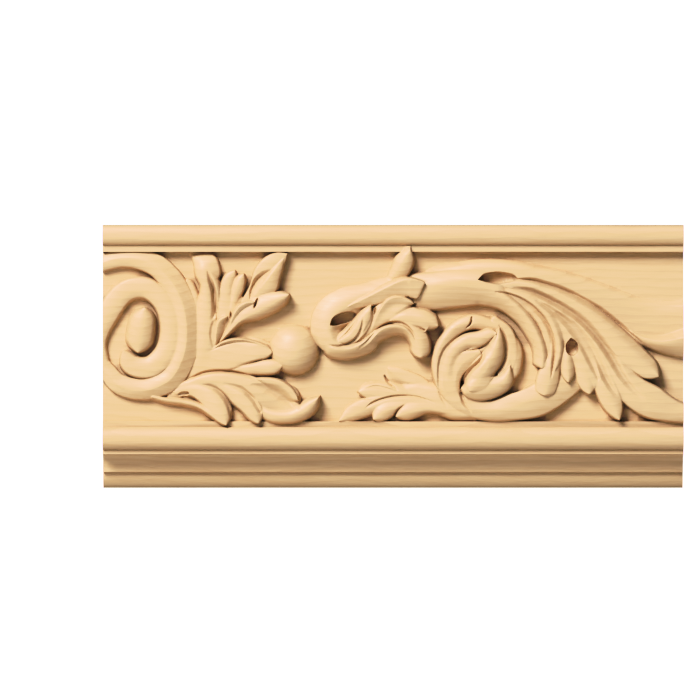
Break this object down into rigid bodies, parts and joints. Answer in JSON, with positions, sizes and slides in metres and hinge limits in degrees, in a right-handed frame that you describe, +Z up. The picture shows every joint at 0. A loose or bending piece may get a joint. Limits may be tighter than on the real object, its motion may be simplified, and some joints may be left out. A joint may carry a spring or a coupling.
{
  "type": "carved acanthus leaf moulding",
  "caption": "Length of carved wood frieze moulding: acanthus leaves and scrolls in relief between beaded rails, with a cove at the foot.",
  "frame": {"origin": "centre of the flat back, where the moulding is fixed to a wall or a cabinet", "axes": "+X along the length to the right as seen from the front, +Y out of the flat back, +Z up, the carving faces -Y"},
  "size_m": [0.196, 0.0206, 0.0888],
  "materials": {
    "pale_wood": "bare sanded wood, satin"
  },
  "bodies": {
    "root": {"moulding": "pale_wood"}
  },
  "joints": []
}
